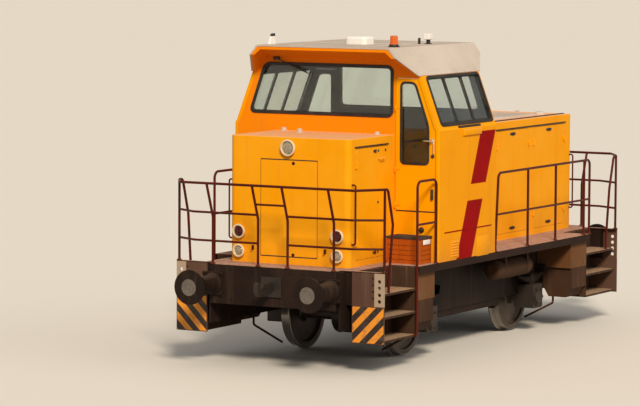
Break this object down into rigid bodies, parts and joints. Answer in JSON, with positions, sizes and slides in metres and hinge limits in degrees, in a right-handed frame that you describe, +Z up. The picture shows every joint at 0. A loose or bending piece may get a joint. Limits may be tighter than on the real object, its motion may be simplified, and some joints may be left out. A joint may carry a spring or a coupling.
{
  "type": "two-axle diesel shunting locomotive",
  "caption": "Yellow-orange diesel shunting locomotive with a tapered cab between a short and a long hood, end platforms with railings, corner ladders and side buffers.",
  "frame": {"origin": "middle of the footprint, in the plane under the wheel flanges", "axes": "+X to the short hood end, +Y to the left side, +Z up"},
  "size_m": [8.68, 3.1, 4.278],
  "materials": {
    "body_paint": "glossy yellow-orange paint",
    "roof_paint": "weathered pale grey paint",
    "frame_black": "dull black paint with brake dust",
    "plate_paint": "dusty grey-brown paint",
    "walkway": "worn grey-brown walkway paint",
    "rail_paint": "dark brown gloss paint",
    "wheel_steel": "rusty steel, bright at the tread",
    "cast_parts": "oily cast iron",
    "engine_grey": "grey engine paint",
    "radiator_core": "dark fins",
    "beacon_orange": "clear orange plastic",
    "lamp_rim": "cream paint",
    "window_rubber": "black rubber",
    "window_glass": "tinted clear glass",
    "cab_floor_covering": "ribbed rubber mat",
    "desk_plastic": "grey textured plastic",
    "seat_cloth": "dark cloth"
  },
  "bodies": {
    "frame": {"air_reservoirs": "frame_black", "axle_boxes": "cast_parts", "beacon": "beacon_orange", "brake_gear": "frame_black", "buffers": "frame_black", "cab_floor": "cab_floor_covering", "cab_front_wall": "body_paint", "cab_glass": "window_glass", "cab_handrails": "rail_paint", "cab_rear_wall": "body_paint", "cab_roof": "roof_paint", "cab_side_left": "body_paint", "cab_side_right": "body_paint", "control_desk": "desk_plastic", "corner_steps": "plate_paint", "deck": "walkway", "draw_hooks": "cast_parts", "driver_seat": "seat_cloth", "end_plates": "plate_paint", "end_railings": "rail_paint", "engine": "engine_grey", "final_drives": "cast_parts", "fuel_tanks": "frame_black", "headstocks": "frame_black", "hood_handles": "rail_paint", "hood_top_fittings": "roof_paint", "jacking_brackets": "frame_black", "lamps": "lamp_rim", "leaf_springs": "frame_black", "long_hood": "body_paint", "main_frame": "frame_black", "nose_cover": "body_paint", "radiator": "radiator_core", "radiator_grille": "frame_black", "roof_fittings": "roof_paint", "sand_boxes": "frame_black", "short_hood": "body_paint", "short_hood_panel_1_left": "body_paint", "short_hood_panel_1_right": "body_paint", "side_window_frames": "window_rubber", "step_boxes": "body_paint", "transmission": "cast_parts", "walkway_railings": "rail_paint"},
    "wheelset_front": {"wheelset_front": "wheel_steel"},
    "wheelset_rear": {"wheelset_rear": "wheel_steel"},
    "cab_door_front": {"cab_door_front": "body_paint", "door_glass_front": "window_glass"},
    "cab_door_rear": {"cab_door_rear": "body_paint", "door_glass_rear": "window_glass"},
    "short_hood_door_1_front_left": {"short_hood_door_1_front_left": "body_paint"},
    "short_hood_door_1_front_right": {"short_hood_door_1_front_right": "body_paint"},
    "long_hood_door_1_front_left": {"long_hood_door_1_front_left": "body_paint"},
    "long_hood_door_1_rear_left": {"long_hood_door_1_rear_left": "body_paint"},
    "long_hood_door_1_front_right": {"long_hood_door_1_front_right": "body_paint"},
    "long_hood_door_1_rear_right": {"long_hood_door_1_rear_right": "body_paint"},
    "long_hood_door_2_front_left": {"long_hood_door_2_front_left": "body_paint"},
    "long_hood_door_2_rear_left": {"long_hood_door_2_rear_left": "body_paint"},
    "long_hood_door_2_front_right": {"long_hood_door_2_front_right": "body_paint"},
    "long_hood_door_2_rear_right": {"long_hood_door_2_rear_right": "body_paint"}
  },
  "joints": [
    {"name": "front_axle_spin", "type": "hinge", "parent": "frame", "child": "wheelset_front", "pos_m": [1.6, 0, 0.503], "axis": [0, 1, 0], "continuous": true},
    {"name": "rear_axle_spin", "type": "hinge", "parent": "frame", "child": "wheelset_rear", "pos_m": [-1.6, 0, 0.503], "axis": [0, 1, 0], "continuous": true},
    {"name": "front_cab_door_hinge", "type": "hinge", "parent": "frame", "child": "cab_door_front", "pos_m": [2.084, 0.905, 2.828], "axis": [0, 0, 1], "range_deg": [-80, 0]},
    {"name": "rear_cab_door_hinge", "type": "hinge", "parent": "frame", "child": "cab_door_rear", "pos_m": [0.386, -0.905, 2.828], "axis": [0, 0, 1], "range_deg": [-80, 0]},
    {"name": "short_hood_door_1_front_left_hinge", "type": "hinge", "parent": "frame", "child": "short_hood_door_1_front_left", "pos_m": [3.11, 0.904, 2.128], "axis": [0, 0, 1], "range_deg": [-90, 0]},
    {"name": "short_hood_door_1_front_right_hinge", "type": "hinge", "parent": "frame", "child": "short_hood_door_1_front_right", "pos_m": [3.11, -0.904, 2.128], "axis": [0, 0, 1], "range_deg": [0, 90]},
    {"name": "long_hood_door_1_front_left_hinge", "type": "hinge", "parent": "frame", "child": "long_hood_door_1_front_left", "pos_m": [-0.93, 0.904, 2.128], "axis": [0, 0, 1], "range_deg": [-90, 0]},
    {"name": "long_hood_door_1_rear_left_hinge", "type": "hinge", "parent": "frame", "child": "long_hood_door_1_rear_left", "pos_m": [-1.93, 0.904, 2.128], "axis": [0, 0, 1], "range_deg": [0, 90]},
    {"name": "long_hood_door_1_front_right_hinge", "type": "hinge", "parent": "frame", "child": "long_hood_door_1_front_right", "pos_m": [-0.93, -0.904, 2.128], "axis": [0, 0, 1], "range_deg": [0, 90]},
    {"name": "long_hood_door_1_rear_right_hinge", "type": "hinge", "parent": "frame", "child": "long_hood_door_1_rear_right", "pos_m": [-1.93, -0.904, 2.128], "axis": [0, 0, 1], "range_deg": [-90, 0]},
    {"name": "long_hood_door_2_front_left_hinge", "type": "hinge", "parent": "frame", "child": "long_hood_door_2_front_left", "pos_m": [-2.09, 0.904, 2.128], "axis": [0, 0, 1], "range_deg": [-90, 0]},
    {"name": "long_hood_door_2_rear_left_hinge", "type": "hinge", "parent": "frame", "child": "long_hood_door_2_rear_left", "pos_m": [-3.09, 0.904, 2.128], "axis": [0, 0, 1], "range_deg": [0, 90]},
    {"name": "long_hood_door_2_front_right_hinge", "type": "hinge", "parent": "frame", "child": "long_hood_door_2_front_right", "pos_m": [-2.09, -0.904, 2.128], "axis": [0, 0, 1], "range_deg": [0, 90]},
    {"name": "long_hood_door_2_rear_right_hinge", "type": "hinge", "parent": "frame", "child": "long_hood_door_2_rear_right", "pos_m": [-3.09, -0.904, 2.128], "axis": [0, 0, 1], "range_deg": [-90, 0]}
  ]
}
